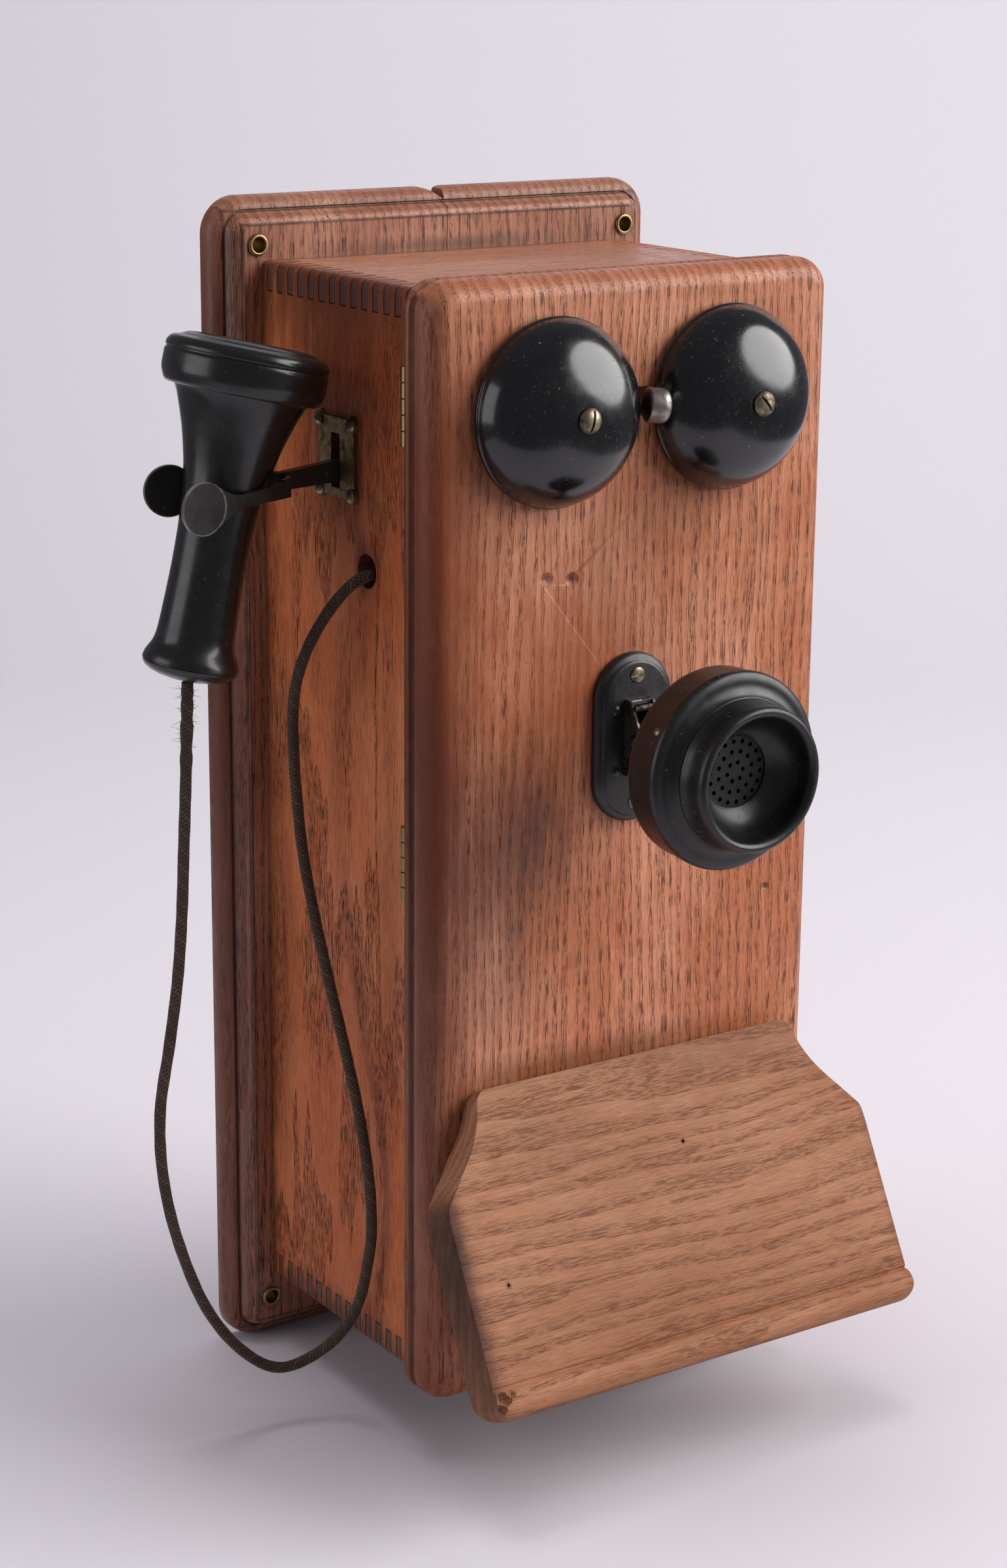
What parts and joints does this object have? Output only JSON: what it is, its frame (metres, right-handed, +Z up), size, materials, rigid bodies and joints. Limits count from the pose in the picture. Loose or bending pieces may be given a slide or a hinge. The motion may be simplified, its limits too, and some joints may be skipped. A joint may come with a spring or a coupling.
{
  "type": "antique wooden wall telephone",
  "caption": "Antique oak wall telephone with a hinged front, two black gongs, a tilting transmitter, a sloping writing shelf and a receiver on a switch hook.",
  "frame": {"origin": "centre of the backboard's back face, which lies on the wall", "axes": "+Z up, -Y out of the wall towards the user, +X to the right of someone facing the telephone"},
  "size_m": [0.298, 0.2485, 0.52],
  "materials": {
    "backboard": "worn varnish",
    "eyelet_top_left": "tarnished",
    "eyelet_top_right": "tarnished",
    "eyelet_bottom_left": "tarnished",
    "eyelet_bottom_right": "tarnished",
    "box_left_board": "worn varnish",
    "box_right_board": "worn varnish",
    "box_top_board": "worn varnish",
    "box_bottom_board": "worn varnish",
    "hook_escutcheon": "tarnished",
    "escutcheon_screw_front_top": "tarnished",
    "escutcheon_screw_front_bottom": "tarnished",
    "escutcheon_screw_rear_top": "tarnished",
    "escutcheon_screw_rear_bottom": "tarnished",
    "hinge_upper_box_leaf": "dark tarnish",
    "hinge_lower_box_leaf": "dark tarnish",
    "hinge_upper_pin": "aged",
    "hinge_lower_pin": "aged",
    "hook_bracket": "aged",
    "hook_pivot_pin": "aged",
    "hook_contact_springs": "fibre",
    "condenser_can": "dull tin",
    "induction_coil": "wound thread",
    "terminal_strip": "fibre",
    "receiver_cord": "braided cotton",
    "door_panel": "worn varnish",
    "writing_shelf": "worn, dry varnish",
    "shelf_bracket_left": "worn varnish",
    "shelf_bracket_right": "worn varnish",
    "hinge_upper_door_leaf": "dark tarnish",
    "hinge_lower_door_leaf": "dark tarnish",
    "gong_left": "gloss enamel",
    "gong_right": "gloss enamel",
    "gong_post_left": "aged",
    "gong_post_right": "aged",
    "gong_screw_left": "tarnished",
    "gong_screw_right": "tarnished",
    "ringer_frame": "aged",
    "ringer_coil_left": "wound thread",
    "ringer_coil_right": "wound thread",
    "ringer_magnet": "aged",
    "transmitter_base_plate": "worn gloss enamel",
    "base_screw_top": "tarnished",
    "base_screw_bottom": "tarnished",
    "transmitter_lug": "aged",
    "transmitter_pin": "aged",
    "ringer_armature": "aged",
    "hammer_rod": "aged",
    "hammer_head": "worn nickel plate",
    "transmitter_arm": "worn gloss enamel",
    "transmitter_cup": "worn gloss enamel",
    "transmitter_face": "worn gloss enamel",
    "mouthpiece": "worn gloss enamel",
    "mouthpiece_grille": "worn gloss enamel",
    "carbon_button": "matt",
    "receiver_shell": "hard rubber, satin",
    "receiver_ear_cap": "hard rubber, satin",
    "receiver_diaphragm": "aged",
    "receiver_magnet": "aged",
    "hook_lever": "worn gloss enamel"
  },
  "bodies": {
    "cabinet": {"backboard": "backboard", "eyelet_top_left": "eyelet_top_left", "eyelet_top_right": "eyelet_top_right", "eyelet_bottom_left": "eyelet_bottom_left", "eyelet_bottom_right": "eyelet_bottom_right", "box_left_board": "box_left_board", "box_right_board": "box_right_board", "box_top_board": "box_top_board", "box_bottom_board": "box_bottom_board", "hook_escutcheon": "hook_escutcheon", "escutcheon_screw_front_top": "escutcheon_screw_front_top", "escutcheon_screw_front_bottom": "escutcheon_screw_front_bottom", "escutcheon_screw_rear_top": "escutcheon_screw_rear_top", "escutcheon_screw_rear_bottom": "escutcheon_screw_rear_bottom", "hinge_upper_box_leaf": "hinge_upper_box_leaf", "hinge_lower_box_leaf": "hinge_lower_box_leaf", "hinge_upper_pin": "hinge_upper_pin", "hinge_lower_pin": "hinge_lower_pin", "hook_bracket": "hook_bracket", "hook_pivot_pin": "hook_pivot_pin", "hook_contact_springs": "hook_contact_springs", "condenser_can": "condenser_can", "induction_coil": "induction_coil", "terminal_strip": "terminal_strip", "receiver_cord": "receiver_cord"},
    "door": {"door_panel": "door_panel", "writing_shelf": "writing_shelf", "shelf_bracket_left": "shelf_bracket_left", "shelf_bracket_right": "shelf_bracket_right", "hinge_upper_door_leaf": "hinge_upper_door_leaf", "hinge_lower_door_leaf": "hinge_lower_door_leaf", "gong_left": "gong_left", "gong_right": "gong_right", "gong_post_left": "gong_post_left", "gong_post_right": "gong_post_right", "gong_screw_left": "gong_screw_left", "gong_screw_right": "gong_screw_right", "ringer_frame": "ringer_frame", "ringer_coil_left": "ringer_coil_left", "ringer_coil_right": "ringer_coil_right", "ringer_magnet": "ringer_magnet", "transmitter_base_plate": "transmitter_base_plate", "base_screw_top": "base_screw_top", "base_screw_bottom": "base_screw_bottom", "transmitter_lug": "transmitter_lug", "transmitter_pin": "transmitter_pin"},
    "hammer": {"ringer_armature": "ringer_armature", "hammer_rod": "hammer_rod", "hammer_head": "hammer_head"},
    "transmitter": {"transmitter_arm": "transmitter_arm", "transmitter_cup": "transmitter_cup", "transmitter_face": "transmitter_face", "mouthpiece": "mouthpiece", "mouthpiece_grille": "mouthpiece_grille", "carbon_button": "carbon_button"},
    "receiver": {"receiver_shell": "receiver_shell", "receiver_ear_cap": "receiver_ear_cap", "receiver_diaphragm": "receiver_diaphragm", "receiver_magnet": "receiver_magnet"},
    "hook": {"hook_lever": "hook_lever"}
  },
  "joints": [
    {"name": "door_hinge", "type": "hinge", "parent": "cabinet", "child": "door", "pos_m": [-0.096, -0.137, 0], "axis": [0, 0, -1], "range_deg": [0, 90]},
    {"name": "transmitter_tilt", "type": "hinge", "parent": "door", "child": "transmitter", "pos_m": [-0.002, -0.173, 0.048], "axis": [1, 0, 0], "range_deg": [-25, 25]},
    {"name": "hammer_swing", "type": "hinge", "parent": "door", "child": "hammer", "pos_m": [0, -0.12, 0.132], "axis": [0, 1, 0], "range_deg": [-0.9, 0.9], "stiffness_Nm_per_rad": 0.04},
    {"name": "receiver_lift", "type": "slide", "parent": "cabinet", "child": "receiver", "axis": [-0.6, 0, 0.8], "range_m": [0, 0.12]},
    {"name": "hook_lever", "type": "hinge", "parent": "cabinet", "child": "hook", "pos_m": [-0.066, -0.0795, 0.1565], "axis": [0, 1, 0], "range_deg": [0, 10]}
  ],
  "couplings": [
    {"joint": "hook_lever", "follows": "receiver_lift", "rad_per_m": 1.4544}
  ]
}
